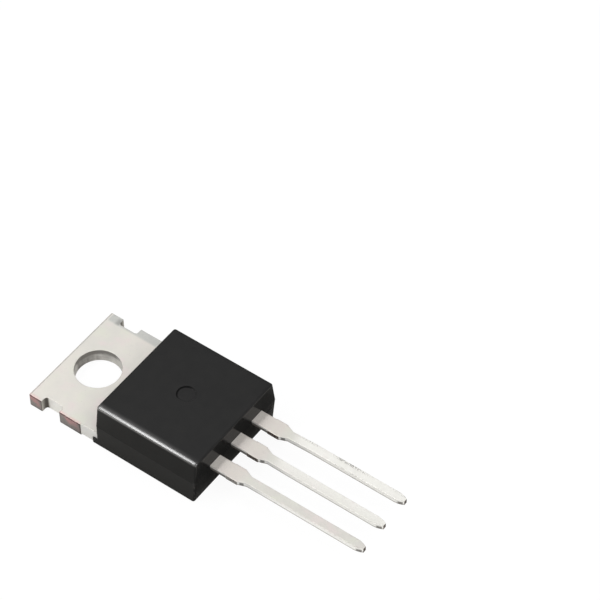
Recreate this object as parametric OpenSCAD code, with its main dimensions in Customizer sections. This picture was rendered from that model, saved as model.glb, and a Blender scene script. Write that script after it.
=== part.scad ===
// Dual Schottky rectifier in a three-lead power package with a bare metal tab.
// A stamped copper frame makes the tab, the die pad and the centre lead in one
// piece. Two dies are soldered to its pad, and aluminium wires join them to the
// two outer leads. The moulded body grips all of it.
// The origin is on the axis of the mounting hole, on the mounting face. The
// leads run along +X, and the mounting face looks along -Z.

/* [Moulded body] */
// Width of the body at its parting line
body_w = 10.04; // [9.98:0.02:10.4]
// Length of the body at its parting line
body_l = 9.3; // [8.9:0.02:9.6]
// Height of the body above the mounting face
body_h = 4.28; // [4.2:0.02:4.7]
// Draft of the long walls above the parting line, in degrees
side_draft = 9; // [5:0.5:10]
// Draft of the end walls above the parting line, in degrees
end_draft = 1.2; // [0.6:0.2:3]
// Draft of the long walls below the parting line, in degrees
side_base_draft = 0.2; // [0.1:0.1:1]
// Draft of the lead side below the parting line, in degrees
end_base_draft = 5.6; // [2:0.2:7]
// Radius of the body's upright corners
corner_r = 0.25; // [0.15:0.05:0.5]
// Radius of the edge round the top face
edge_r = 0.12; // [0.05:0.01:0.2]
// Length of the lips that fill the neck of the tab
lip_l = 0.4; // [0.2:0.02:0.6]
// Height of those lips
lip_h = 0.6; // [0.3:0.02:0.9]
// Diameter of the ejector pin's mark in the top face
pin_mark_d = 1.6; // [1:0.1:2.4]
// Depth of the ejector pin's mark
pin_mark_depth = 0.06; // [0.03:0.01:0.15]
// How far the ejector pin's mark is off the body's middle, towards the leads
pin_mark_shift = 0.22; // [0:0.02:0.6]
// Width of the gate scar on the lead side
gate_w = 1.1; // [0.6:0.1:1.5]
// Height of the gate scar
gate_h = 0.6; // [0.3:0.1:1]
// Depth of the gate scar
gate_depth = 0.06; // [0.04:0.01:0.1]
// Distance of the gate scar from the corner of the body
gate_edge = 0.45; // [0.4:0.05:1]
// How far the middle of the gate scar is below the parting line
gate_drop = 0.6; // [0.5:0.05:1.2]

/* [Tab and die pad] */
// Thickness of the tab and of the die pad
tab_t = 1.22; // [1.2:0.02:1.4]
// Width of the tab across its ears and shoulders
tab_w = 9.95; // [9.84:0.01:9.98]
// Length of the tab outside the body
tab_l = 6.5; // [6.3:0.02:6.8]
// Diameter of the mounting hole
hole_d = 3.68; // [3.5:0.02:4]
// Distance of the mounting hole's axis from the end of the tab
hole_setback = 2.67; // [2.5:0.01:3]
// Length of each ear
ear_l = 1.2; // [0.9:0.02:1.4]
// Length of the notch between an ear and a shoulder
notch_l = 1.69; // [1.4:0.01:1.9]
// Depth of that notch
notch_depth = 0.58; // [0.4:0.02:0.8]
// Radius in the roots of the notch
notch_r = 0.22; // [0.1:0.02:0.35]
// Length of each shoulder
shoulder_l = 2.05; // [1.6:0.01:2.2]
// How far the neck is set in from the shoulders
neck_inset = 0.1; // [0.06:0.01:0.2]
// Length of the neck that the body covers, before the pad
neck_cover = 0.3; // [0.25:0.05:0.6]
// Length of the die pad inside the body
pad_l = 6.1; // [5.8:0.1:6.4]
// Width of the die pad, with its locking ledges
pad_w = 8.7; // [8.3:0.1:9]
// Width of the bare face on the underside of the pad
pad_face_w = 8.1; // [7.6:0.1:8.2]
// Height of the locking ledges above the mounting face
ledge_z = 0.6; // [0.4:0.05:0.8]
// Width of the locking groove across the pad
groove_w = 0.5; // [0.3:0.05:0.7]
// Depth of the locking groove
groove_depth = 0.25; // [0.1:0.05:0.4]

/* [Leads] */
// Pitch of the leads
lead_pitch = 2.54; // [2.5:0.01:2.6]
// Thickness of the leads
lead_t = 0.43; // [0.4:0.01:0.52]
// Height of the leads' underside above the mounting face
lead_z = 2.24; // [2.2:0.02:2.5]
// Length of the leads outside the body
lead_l = 13.27; // [12:0.01:14.5]
// Width of the slim part of a lead
lead_w = 0.74; // [0.7:0.01:0.95]
// Width of the root of a lead, next to the body
root_w = 1.24; // [1.15:0.01:1.4]
// Length of the root of a lead, up to its taper
root_l = 2.42; // [2.2:0.01:2.8]
// Length of the taper from the root to the slim part
taper_l = 0.65; // [0.4:0.01:1]
// Length of the trimmed dambar stubs, which end at the taper
stub_l = 1; // [0.8:0.05:1.6]
// How far the dambar stubs stand out from the root
stub_out = 0.04; // [0.02:0.01:0.08]
// Width of the tip of a lead
tip_w = 0.3; // [0.2:0.02:0.5]
// Length of the tapered tip of a lead
tip_l = 0.8; // [0.5:0.05:1.5]
// Radius inside the bends of the centre lead
bend_r = 0.35; // [0.2:0.05:0.5]
// Angle of the centre lead's step down to the pad, in degrees
step_angle = 50; // [40:1:60]
// Width of the posts at the inner ends of the outer leads
post_w = 2.3; // [2:0.05:2.6]
// Length of those posts
post_l = 1.5; // [1.3:0.05:1.7]
// Gap between the pad's end and the posts, seen from above
post_gap = 0.35; // [0.2:0.05:0.5]
// Diameter of the locking hole in each post's neck
lock_hole_d = 0.5; // [0.4:0.05:0.6]

/* [Dies and wires] */
// Length of each die, along the leads
die_l = 2.6; // [2:0.1:3]
// Width of each die
die_w = 2.9; // [2:0.1:3.2]
// Thickness of each die
die_t = 0.28; // [0.2:0.01:0.35]
// Thickness of the solder under each die
solder_t = 0.06; // [0.04:0.01:0.1]
// How far the solder spreads past the edges of the die
solder_out = 0.1; // [0.05:0.01:0.15]
// Distance between the centres of the two dies
die_spacing = 4.1; // [3.6:0.1:4.6]
// Distance from the pad's end to the dies
die_setback = 1.6; // [1.4:0.1:2]
// Diameter of the bond wires
wire_d = 0.38; // [0.25:0.01:0.42]
// Distance between the two wires of one die
wire_spacing = 1; // [0.8:0.05:1.2]
// Length of each wire's flattened foot
foot_l = 0.8; // [0.6:0.05:1]
// Width of each wire's flattened foot
foot_w = 0.55; // [0.45:0.05:0.7]
// Thickness of each wire's flattened foot
foot_t = 0.24; // [0.18:0.02:0.3]
// Angle at which a wire leaves its die, in degrees
rise_angle = 45; // [35:1:50]
// Angle at which a wire comes down to its post, in degrees
fall_angle = 25; // [20:1:35]
// Radius of the crest of a wire's loop
crest_r = 0.9; // [0.6:0.05:1.1]
// Radius of a wire's bends next to its feet
heel_r = 0.5; // [0.4:0.05:0.6]

/* [Hidden] */
$fn = 64;
// Steps in the arc of a corner or of a bend
arc_steps = 8;
// Steps in the arc of the edge round the top face
edge_steps = 5;
// Steps in each bend of a wire, and sides of its round section
wire_steps = 5;
wire_sides = 12;
// Extra depth of cuts that break through a face
cut_over = 0.5;
// How far a wire's round underside stays above the foot's own underside
wire_lift = 0.02;

tab_end_x = -hole_setback;
body_x = tab_end_x + tab_l;
body_end_x = body_x + body_l;
parting_z = lead_z;
side_base_inset = parting_z * tan(side_base_draft);
end_base_inset = parting_z * tan(end_base_draft);

neck_w = tab_w - 2 * neck_inset;
pad_end_x = body_x + pad_l;
pad_x = body_x + neck_cover;
groove_x = pad_x + groove_w;

lead_top = lead_z + lead_t;
lead_end_x = body_end_x + lead_l;
post_x = pad_end_x + post_gap;
post_end_x = post_x + post_l;
post_y = lead_pitch - (post_w - root_w) / 4;

die_x = pad_end_x - die_setback - die_l / 2;
die_z = tab_t + solder_t;
die_top = die_z + die_t;

// Each wire runs from the middle of its die to the middle of its post
wire_x0 = die_x;
wire_x1 = post_x + post_l / 2;
wire_h = wire_d / 2 + wire_lift;
wire_dx = wire_x1 - wire_x0;
wire_dz = lead_top - die_top;
bent_dx = foot_l + (heel_r + crest_r) * (sin(rise_angle) + sin(fall_angle));
bent_dz = (heel_r + crest_r) * (cos(fall_angle) - cos(rise_angle));
free_dx = wire_dx - bent_dx;
free_dz = wire_dz - bent_dz;
loop_angle = rise_angle + fall_angle;
rise_l = (free_dx * sin(fall_angle) + free_dz * cos(fall_angle)) / sin(loop_angle);
fall_l = (free_dx * sin(rise_angle) - free_dz * cos(rise_angle)) / sin(loop_angle);

// Points of an arc about a centre, from one angle to another
function arc(centre, r, from, to, steps = arc_steps) =
    [for (i = [0:steps])
        let (a = from + (to - from) * i / steps)
        centre + r * [cos(a), sin(a)]];

// ---- Moulded body ----

// Level outline of the body at a height, with its two ends and its sides set in
function body_ring(z, tab_inset, lead_inset, side_inset) = let (
    tab_x = body_x + tab_inset + corner_r,
    lead_x = body_end_x - lead_inset - corner_r,
    y = body_w / 2 - side_inset - corner_r)
    [for (corner = [[lead_x, y, 0], [tab_x, y, 90], [tab_x, -y, 180], [lead_x, -y, 270]])
        for (p = arc([corner[0], corner[1]], corner_r, corner[2], corner[2] + 90))
            [p[0], p[1], z]];

// Inset of a drafted wall where the rounded top edge has turned by an angle
function edge_inset(draft, a) =
    (body_h - edge_r * (1 - sin(draft)) - parting_z) * tan(draft)
    + edge_r * (cos(draft) - cos(a));

// The drafted walls up to the top edge, and the arc that rounds that edge. The mould
// halves meet on the tab itself, so the tab end keeps one draft all the way down
function body_rings() = concat(
    [body_ring(0, -parting_z * tan(end_draft), end_base_inset, side_base_inset),
     body_ring(parting_z, 0, 0, 0)],
    [for (i = [0:edge_steps])
        let (a = side_draft + (90 - side_draft) * i / edge_steps)
        body_ring(
            body_h - edge_r * (1 - sin(a)),
            edge_inset(end_draft, a),
            edge_inset(end_draft, a),
            edge_inset(side_draft, a))]);

// Closed skin over a stack of level outlines that have equally many points
module loft(rings) {
    n = len(rings[0]);
    last = len(rings) - 1;
    polyhedron(
        points = [for (ring = rings) each ring],
        faces = concat(
            [[for (i = [0:n - 1]) i]],
            [for (k = [0:last - 1], i = [0:n - 1])
                [k * n + i, (k + 1) * n + i, (k + 1) * n + (i + 1) % n, k * n + (i + 1) % n]],
            [[for (i = [n - 1:-1:0]) last * n + i]]));
}

// The lips beside the neck of the tab, which start inside the body's wall
module neck_lips() {
    lip_w = body_w / 2 - side_base_inset - neck_w / 2;
    for (side = [-1, 1])
        translate([body_x - lip_l, side * (neck_w + lip_w) / 2 - lip_w / 2, 0])
            cube([lip_l + neck_cover, lip_w, lip_h]);
}

module mould_body() {
    color([0.17, 0.17, 0.175])
        difference() {
            union() {
                loft(body_rings());
                neck_lips();
            }
            ejector_mark();
            gate_scar();
            frame_shape();
            for (side = [-1, 1]) {
                anode_shape(side);
                die_shape(side);
                solder_shape(side);
                for (wire_side = [-1, 1])
                    wire_shape(side, wire_side);
            }
        }
}

// Shallow round mark near the middle of the top face
module ejector_mark() {
    translate([body_x + body_l / 2 + pin_mark_shift, 0, body_h - pin_mark_depth])
        cylinder(h = pin_mark_depth + cut_over, d = pin_mark_d);
}

// Scar where the mould's gate was broken off, near one corner of the lead side
module gate_scar() {
    wall_x = body_end_x - gate_drop * tan(end_base_draft);
    translate([
        wall_x - gate_depth,
        body_w / 2 - gate_edge - gate_w,
        parting_z - gate_drop - gate_h / 2])
        cube([cut_over, gate_w, gate_h]);
}

// ---- Copper frame ----

// Half outline of the tab and neck, from the middle of its outer end
function tab_side() = let (
    w = tab_w / 2,
    root = w - notch_depth,
    ear_x = tab_end_x + ear_l,
    shoulder_x = ear_x + notch_l,
    neck_x = shoulder_x + shoulder_l,
    r = notch_r)
    concat(
        [[tab_end_x, w], [ear_x, w]],
        arc([ear_x + r, root + r], r, 180, 270),
        arc([shoulder_x - r, root + r], r, 270, 360),
        [[shoulder_x, w], [neck_x, w],
         [neck_x + neck_inset, w - neck_inset],
         [pad_x, w - neck_inset],
         [pad_x, pad_w / 2]]);

function mirrored(points) =
    [for (i = [len(points) - 1:-1:0]) [points[i][0], -points[i][1]]];

module tab_plate() {
    difference() {
        linear_extrude(tab_t)
            polygon(concat(tab_side(), mirrored(tab_side())));
        translate([0, 0, -cut_over])
            cylinder(h = tab_t + 2 * cut_over, d = hole_d);
    }
}

// The pad inside the body: its underside is narrower, so that the body holds it
module die_pad() {
    difference() {
        translate([pad_x, 0, 0])
            rotate([90, 0, 90])
                linear_extrude(pad_l - neck_cover)
                    polygon([
                        [-pad_face_w / 2, 0], [pad_face_w / 2, 0],
                        [pad_face_w / 2, ledge_z], [pad_w / 2, ledge_z],
                        [pad_w / 2, tab_t], [-pad_w / 2, tab_t],
                        [-pad_w / 2, ledge_z], [-pad_face_w / 2, ledge_z]]);
        translate([groove_x, -pad_w, tab_t - groove_depth])
            cube([groove_w, 2 * pad_w, groove_depth + cut_over]);
    }
}

// Side view of the centre lead: it leaves the end of the pad and steps up
function centre_profile() = let (
    a = step_angle,
    outer_r = bend_r + lead_t,
    rise = lead_top - tab_t,
    run = (rise - (bend_r + outer_r) * (1 - cos(a))) / sin(a),
    c0 = [pad_end_x, tab_t + bend_r],
    c1 = [pad_end_x + (bend_r + outer_r) * sin(a) + run * cos(a), lead_z - bend_r])
    concat(
        arc(c0, bend_r, 270, 270 + a),
        arc(c1, outer_r, 90 + a, 90),
        [[lead_end_x, lead_top], [lead_end_x, lead_z]],
        arc(c1, bend_r, 90, 90 + a),
        arc(c0, outer_r, 270 + a, 270));

// Half outline of one lead from its inner end to its tip, about its centreline
function lead_side(start_x) = let (
    stub_x = body_end_x + root_l - stub_l,
    taper_x = body_end_x + root_l,
    tip_x = lead_end_x - tip_l)
    [
        [start_x, root_w / 2],
        [stub_x, root_w / 2], [stub_x, root_w / 2 + stub_out],
        [taper_x, root_w / 2 + stub_out],
        [taper_x + taper_l, lead_w / 2],
        [tip_x, lead_w / 2],
        [lead_end_x, tip_w / 2]
    ];

module lead_outline(start_x) {
    polygon(concat(lead_side(start_x), mirrored(lead_side(start_x))));
}

// The centre lead has the outline of the others and the stepped side view
module centre_lead() {
    intersection() {
        linear_extrude(lead_top + cut_over)
            lead_outline(pad_end_x);
        translate([0, root_w, 0])
            rotate([90, 0, 0])
                linear_extrude(2 * root_w)
                    polygon(centre_profile());
    }
}

module frame_shape() {
    tab_plate();
    die_pad();
    centre_lead();
}

module cathode_frame() {
    color([0.84, 0.83, 0.80])
        frame_shape();
}

// ---- Outer leads ----

// A lead with the post that the wires land on, and a hole that the body fills
module anode_shape(side) {
    translate([0, 0, lead_z])
        difference() {
            union() {
                translate([0, side * lead_pitch, 0])
                    linear_extrude(lead_t)
                        lead_outline(post_end_x);
                translate([post_x, side * post_y - post_w / 2, 0])
                    cube([post_l, post_w, lead_t]);
            }
            translate([post_end_x - lock_hole_d, side * post_y, -cut_over])
                cylinder(h = lead_t + 2 * cut_over, d = lock_hole_d);
        }
}

module anode_lead(side) {
    color([0.84, 0.83, 0.80])
        anode_shape(side);
}

// ---- Dies, solder and wires ----

module die_shape(side) {
    translate([die_x - die_l / 2, side * die_spacing / 2 - die_w / 2, die_z])
        cube([die_l, die_w, die_t]);
}

module solder_shape(side) {
    translate([
        die_x - die_l / 2 - solder_out,
        side * die_spacing / 2 - die_w / 2 - solder_out,
        tab_t])
        cube([die_l + 2 * solder_out, die_w + 2 * solder_out, solder_t]);
}

// Stations of a wire's bend, from one heading above the level to another
function turn(p, from, to, r) = let (side = sign(to - from))
    [for (i = [0:wire_steps])
        let (a = from + (to - from) * i / wire_steps)
        [p[0] + side * r * (sin(a) - sin(from)), p[1] - side * r * (cos(a) - cos(from)), a]];

// The station that ends a straight run
function run(p, length) = [p[0] + length * cos(p[2]), p[1] + length * sin(p[2]), p[2]];

// Side view of a wire as [x, z, heading], from inside one foot to inside the other
function wire_route() = let (
    start = [wire_x0, die_top + wire_h, 0],
    heel = turn(run(start, foot_l / 2), 0, rise_angle, heel_r),
    crest = turn(run(heel[wire_steps], rise_l), rise_angle, -fall_angle, crest_r),
    toe = turn(run(crest[wire_steps], fall_l), -fall_angle, 0, heel_r))
    concat([start], heel, crest, toe, [run(toe[wire_steps], foot_l / 2)]);

// Round section of a wire at one station
function wire_ring(p, y) =
    [for (k = [0:wire_sides - 1])
        let (a = 360 * k / wire_sides, r = wire_d / 2)
        [p[0] - r * sin(a) * sin(p[2]), y + r * cos(a), p[1] + r * sin(a) * cos(p[2])]];

// The flattened foot of a wire, about the foot's own middle
module wire_foot() {
    translate([-foot_l / 2, -foot_w / 2, 0])
        cube([foot_l, foot_w, foot_t]);
}

module wire_shape(side, wire_side) {
    y = side * die_spacing / 2 + wire_side * wire_spacing / 2;
    translate([wire_x0, y, die_top])
        wire_foot();
    translate([wire_x1, y, lead_top])
        wire_foot();
    loft([for (p = wire_route()) wire_ring(p, y)]);
}

module schottky_die(side) {
    color([0.45, 0.46, 0.50])
        die_shape(side);
}

module die_solder(side) {
    color([0.62, 0.63, 0.65])
        solder_shape(side);
}

module bond_wire(side, wire_side) {
    color([0.80, 0.81, 0.83])
        wire_shape(side, wire_side);
}

mould_body();
cathode_frame();
anode_lead(-1);  // anode_lead_1
anode_lead(1);  // anode_lead_2
schottky_die(-1);  // schottky_die_1
schottky_die(1);  // schottky_die_2
die_solder(-1);  // die_solder_1
die_solder(1);  // die_solder_2
bond_wire(-1, -1);  // bond_wire_1
bond_wire(-1, 1);  // bond_wire_2
bond_wire(1, -1);  // bond_wire_3
bond_wire(1, 1);  // bond_wire_4
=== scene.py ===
from math import cos, pi, radians, sin, sqrt, tan

import bmesh
import bpy
from mathutils import Matrix, Vector
from mathutils.geometry import tessellate_polygon


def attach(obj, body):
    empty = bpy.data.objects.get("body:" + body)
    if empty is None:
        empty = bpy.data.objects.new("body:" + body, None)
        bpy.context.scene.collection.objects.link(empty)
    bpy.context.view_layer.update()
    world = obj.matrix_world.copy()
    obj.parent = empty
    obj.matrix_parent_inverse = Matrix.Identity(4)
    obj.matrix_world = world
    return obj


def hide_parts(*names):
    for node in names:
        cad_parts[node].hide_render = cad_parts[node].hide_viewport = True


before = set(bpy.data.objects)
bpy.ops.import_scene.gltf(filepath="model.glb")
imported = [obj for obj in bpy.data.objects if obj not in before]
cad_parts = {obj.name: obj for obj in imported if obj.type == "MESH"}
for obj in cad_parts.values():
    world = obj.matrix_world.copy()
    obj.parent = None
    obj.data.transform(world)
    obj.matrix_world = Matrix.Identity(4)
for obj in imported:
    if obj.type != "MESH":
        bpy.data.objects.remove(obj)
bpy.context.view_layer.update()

mm = 0.001


camera = {
    "azimuth": 36.02, "elevation": 49.39, "roll": 0.09,
    "target": (7.751, 15.38, 0.0), "distance": 197.53, "focalLength": 151.46,
}


def placeCamera():
    az, el, roll = (radians(camera[key]) for key in ("azimuth", "elevation", "roll"))
    back = Vector((sin(az) * cos(el), -cos(az) * cos(el), sin(el)))
    right = Vector((cos(az), sin(az), 0))
    up = back.cross(right)
    columns = (right * cos(roll) - up * sin(roll), right * sin(roll) + up * cos(roll), back)
    lens = bpy.data.cameras.new("camera")
    lens.lens = camera["focalLength"]
    lens.sensor_width = 36
    lens.clip_start = 0.01
    lens.clip_end = 10
    seat = bpy.data.objects.new("camera", lens)
    spot = (Vector(camera["target"]) + back * camera["distance"]) * mm
    seat.matrix_world = Matrix.Translation(spot) @ Matrix(columns).transposed().to_4x4()
    bpy.context.collection.objects.link(seat)
    bpy.context.scene.camera = seat


placeCamera()
bpy.context.scene.view_settings.view_transform = "Standard"
print("camera placed")


class Link:
    # one output of a node, which takes part in sums and comparisons
    def __init__(self, maker, made, output=0):
        self.maker = maker
        self.made = made
        self.socket = made.outputs[output] if made.outputs else None

    def out(self, output):
        return Link(self.maker, self.made, output)

    def math(self, operation, first, second=0.0, third=0.0):
        return self.maker.node("ShaderNodeMath", {"operation": operation}, {0: first, 1: second, 2: third})

    def __add__(self, other):
        return self.math("ADD", self, other)

    def __sub__(self, other):
        return self.math("SUBTRACT", self, other)

    def __mul__(self, other):
        return self.math("MULTIPLY", self, other)

    def __truediv__(self, other):
        return self.math("DIVIDE", self, other)

    def __radd__(self, other):
        return self.math("ADD", other, self)

    def __rsub__(self, other):
        return self.math("SUBTRACT", other, self)

    def __rmul__(self, other):
        return self.math("MULTIPLY", other, self)

    def __abs__(self):
        return self.math("ABSOLUTE", self)

    def __lt__(self, other):
        return self.math("LESS_THAN", self, other)

    def __gt__(self, other):
        return self.math("GREATER_THAN", self, other)

    def most(self, other):
        return self.math("MAXIMUM", self, other)

    def wrap(self, low, high):
        return self.math("WRAP", self, high, low)

    def sqrt(self):
        return self.math("SQRT", self)

    def rise(self, low, high, kind="SMOOTHSTEP"):
        # 0 below low, 1 above high; falls where low is the larger
        return self.maker.node(
            "ShaderNodeMapRange", {"interpolation_type": kind},
            {"Value": self, "From Min": low, "From Max": high, "To Min": 0.0, "To Max": 1.0})

    def between(self, start, full, fading, end):
        # rises from start to full, and falls again from fading to end
        return self.rise(start, full) * self.rise(end, fading)


class Maker:
    # makes the nodes of one tree
    def __init__(self, tree):
        self.tree = tree

    def node(self, kind, settings=None, inputs=None, output=0):
        made = self.tree.nodes.new(kind)
        for key, value in (settings or {}).items():
            setattr(made, key, value)
        for key, value in (inputs or {}).items():
            if isinstance(value, Link):
                self.tree.links.new(value.socket, made.inputs[key])
            else:
                made.inputs[key].default_value = value
        return Link(self, made, output)


class Finish(Maker):
    # a material with its coordinates in millimetres
    def __init__(self, name, **constants):
        self.material = bpy.data.materials.new(name)
        self.material.use_nodes = True
        super().__init__(self.material.node_tree)
        self.shader = self.tree.nodes["Principled BSDF"]
        for key, value in constants.items():
            self.shader.inputs[key.replace("_", " ")].default_value = value
        spot = self.node("ShaderNodeTexCoord", output="Object")
        self.place = self.node("ShaderNodeVectorMath", {"operation": "SCALE"}, {0: spot, "Scale": 1 / mm})
        axes = self.node("ShaderNodeSeparateXYZ", {}, {0: self.place})
        self.x, self.y, self.z = axes.out("X"), axes.out("Y"), axes.out("Z")

    def stretched(self, x, y, z):
        # the same coordinates, squeezed along each axis
        return self.node("ShaderNodeVectorMath", {"operation": "MULTIPLY"}, {0: self.place, 1: (x, y, z)})

    def noise(self, scale, detail=3.0, rough=0.5, where=None, lift=0.0):
        # lift picks another pattern of the same kind
        return self.node(
            "ShaderNodeTexNoise", {"noise_dimensions": "4D"},
            {"Vector": where or self.place, "W": lift, "Scale": scale, "Detail": detail, "Roughness": rough})

    def cells(self, scale):
        # distance to the nearest of scattered points
        return self.node("ShaderNodeTexVoronoi", {}, {"Vector": self.place, "Scale": scale}, "Distance")

    def blend(self, amount, first, second):
        first, second = (c if isinstance(c, Link) else (*c, 1.0) for c in (first, second))
        return self.node("ShaderNodeMix", {"data_type": "RGBA"}, {0: amount, 6: first, 7: second}, 2)

    def finish(self, colour, roughness, height, depth, **others):
        # depth is the height of the relief in millimetres
        ends = {"Base Color": colour, "Roughness": roughness}
        ends.update({key.replace("_", " "): value for key, value in others.items()})
        for key, value in ends.items():
            self.tree.links.new(value.socket, self.shader.inputs[key])
        bump = self.node("ShaderNodeBump", {}, {"Strength": 1.0, "Distance": depth * mm, "Height": height})
        self.tree.links.new(bump.socket, self.shader.inputs["Normal"])
        return self.material


def loops(points):
    # each point with its neighbours
    return [(points[i - 1], points[i], points[(i + 1) % len(points)]) for i in range(len(points))]


def roundedLoop(points, steps=5):
    # (x, y, radius) corners of a closed outline, each turned into an arc
    straight = radians(88)                          # half the angle of a corner that is no corner
    out = []
    for a, b, c in loops(points):
        corner = Vector(b[:2])
        before = (Vector(a[:2]) - corner).normalized()
        after = (Vector(c[:2]) - corner).normalized()
        half = before.angle(after) / 2
        if b[2] <= 0 or half > straight:
            out.append(corner)
            continue
        centre = corner + (before + after).normalized() * b[2] / sin(half)
        start = corner + before * b[2] / tan(half) - centre
        end = corner + after * b[2] / tan(half) - centre
        swing = start.angle_signed(end)
        for i in range(steps + 1):
            out.append(centre + Matrix.Rotation(-swing * i / steps, 2) @ start)
    return out


def insetLoop(points, distance):
    # the same outline moved to its left-hand side
    out = []
    for a, b, c in loops(points):
        one, two = (b - a).normalized(), (c - b).normalized()
        first, second = Vector((-one.y, one.x)), Vector((-two.y, two.x))
        out.append(b + (first + second) * distance / (1 + first.dot(second)))
    return out


def circle(x, y, radius, count=96):
    # wound so that the metal is on the left-hand side
    turns = [radians(-360 * i / count) for i in range(count)]
    return [Vector((x + radius * cos(a), y + radius * sin(a))) for a in turns]


def skin(bm, rings):
    # faces between rings of equally many points, from the lowest to the highest
    n = len(rings[0])
    for low, high in zip(rings, rings[1:]):
        for i in range(n):
            j = (i + 1) % n
            bm.faces.new((low[i], low[j], high[j], high[i]))


def cap(bm, rims, upward):
    # a flat face inside the first rim, with the other rims as its holes
    flat = [v for rim in rims for v in rim]
    for a, b, c in tessellate_polygon([[v.co for v in rim] for rim in rims]):
        trio = (flat[a], flat[b], flat[c])
        turn = (trio[1].co - trio[0].co).cross(trio[2].co - trio[0].co).z
        bm.faces.new(trio if (turn > 0) == upward else trio[::-1])


def plate(bm, outlines, bottom, top, underEdge, topEdge, steps=4, guard=0.02):
    # a flat piece with its edges rounded above and below; the first outline is the rim, the rest are holes
    turns = [radians(90 * i / steps) for i in range(steps + 1)]
    levels = [(bottom, underEdge + guard)]
    levels += [(bottom + underEdge * (1 - cos(a)), underEdge * (1 - sin(a))) for a in turns]
    levels += [(bottom + underEdge + guard, 0), (top - topEdge - guard, 0)]
    levels += [(top - topEdge * (1 - sin(a)), topEdge * (1 - cos(a))) for a in turns]
    levels += [(top, topEdge + guard)]
    caps = {0: [], len(levels) - 1: []}
    for outline in outlines:
        rings = []
        for k, (z, inset) in enumerate(levels):
            ring = [bm.verts.new((p.x, p.y, z)) for p in insetLoop(outline, inset)]
            rings.append(ring)
            if k in caps:
                caps[k].append(ring)
        skin(bm, rings)
    for k, rims in caps.items():
        cap(bm, rims, k > 0)


def box(bm, low, high, edge):
    # a block with softened edges
    corners = [(low[0], low[1]), (high[0], low[1]), (high[0], high[1]), (low[0], high[1])]
    outline = roundedLoop([(x, y, edge) for x, y in corners], 3)
    plate(bm, [outline], low[2], high[2], edge, edge, 3, edge / 4)


def plainMesh(name, bm):
    # flat faces stay flat, and arcs look round
    mesh = bpy.data.meshes.new(name)
    bm.to_mesh(mesh)
    bm.free()
    mesh.shade_smooth()
    mesh.set_sharp_from_angle(angle=radians(32))
    return mesh


def meshOf(name, bm):
    # from millimetres to metres, with all faces outwards
    for v in bm.verts:
        v.co *= mm
    bmesh.ops.recalc_face_normals(bm, faces=bm.faces)
    return plainMesh(name, bm)


def joined(name, parts):
    # several meshes as one, each with its own material number
    bm = bmesh.new()
    for number, mesh in enumerate(parts):
        before = len(bm.faces)
        bm.from_mesh(mesh)
        bm.faces.ensure_lookup_table()
        for face in bm.faces[before:]:
            face.material_index = number
    return plainMesh(name, bm)


def polyline(name, points):
    mesh = bpy.data.meshes.new(name)
    edges = [(i, i + 1) for i in range(len(points) - 1)]
    mesh.from_pydata([(x * mm, 0, z * mm) for x, z in points], edges, [])
    return mesh


def newTree(name, sizes):
    tree = bpy.data.node_groups.new(name, "GeometryNodeTree")
    tree.interface.new_socket("Geometry", in_out="INPUT", socket_type="NodeSocketGeometry")
    for key in sizes:
        tree.interface.new_socket(key, in_out="INPUT", socket_type="NodeSocketFloat")
    tree.interface.new_socket("Finish", in_out="INPUT", socket_type="NodeSocketMaterial")
    tree.interface.new_socket("Geometry", in_out="OUTPUT", socket_type="NodeSocketGeometry")
    maker = Maker(tree)
    return maker, maker.node("NodeGroupInput")


def sweep(maker, given, section):
    # a solid along the start mesh, and the place of each of its points
    path = maker.node("GeometryNodeMeshToCurve", {}, {0: given.out("Geometry")})
    path = maker.node("GeometryNodeSetCurveNormal", {"mode": "Z_UP"}, {0: path})
    solid = maker.node("GeometryNodeCurveToMesh", {}, {0: path, 1: section, "Fill Caps": True})
    axes = maker.node("ShaderNodeSeparateXYZ", {}, {0: maker.node("GeometryNodeInputPosition")})
    return solid, axes.out("X"), axes.out("Y"), axes.out("Z")


def closeTree(maker, shape, given):
    shape = maker.node("GeometryNodeRealizeInstances", {}, {0: shape})
    shape = maker.node("GeometryNodeSetShadeSmooth", {}, {0: shape})
    shape = maker.node("GeometryNodeSetMaterial", {}, {0: shape, "Material": given.out("Finish")})
    maker.node("NodeGroupOutput", {}, {0: shape})
    return maker.tree


def grownMesh(tree, start, sizes, finish):
    # runs a tree on a start mesh and keeps only the plain result
    values = {key: size * mm for key, size in sizes.items()}
    values["Finish"] = finish
    seed = bpy.data.objects.new("seed", start)
    bpy.context.collection.objects.link(seed)
    modifier = seed.modifiers.new("shape", "NODES")
    modifier.node_group = tree
    for item in tree.interface.items_tree:
        if item.in_out == "INPUT" and item.name in values:
            modifier[item.identifier] = values[item.name]
    mesh = bpy.data.meshes.new_from_object(seed.evaluated_get(bpy.context.evaluated_depsgraph_get()))
    seed.modifiers.remove(modifier)
    bpy.data.objects.remove(seed)
    return mesh


def piece(name, mesh, slot, materials, *nodes):
    made = bpy.data.objects.new(name, mesh)
    bpy.context.collection.objects.link(made)
    for material in materials:
        mesh.materials.append(material)
    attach(made, "root")
    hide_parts(*nodes)
    print("piece", name, len(mesh.polygons), "faces")


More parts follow.
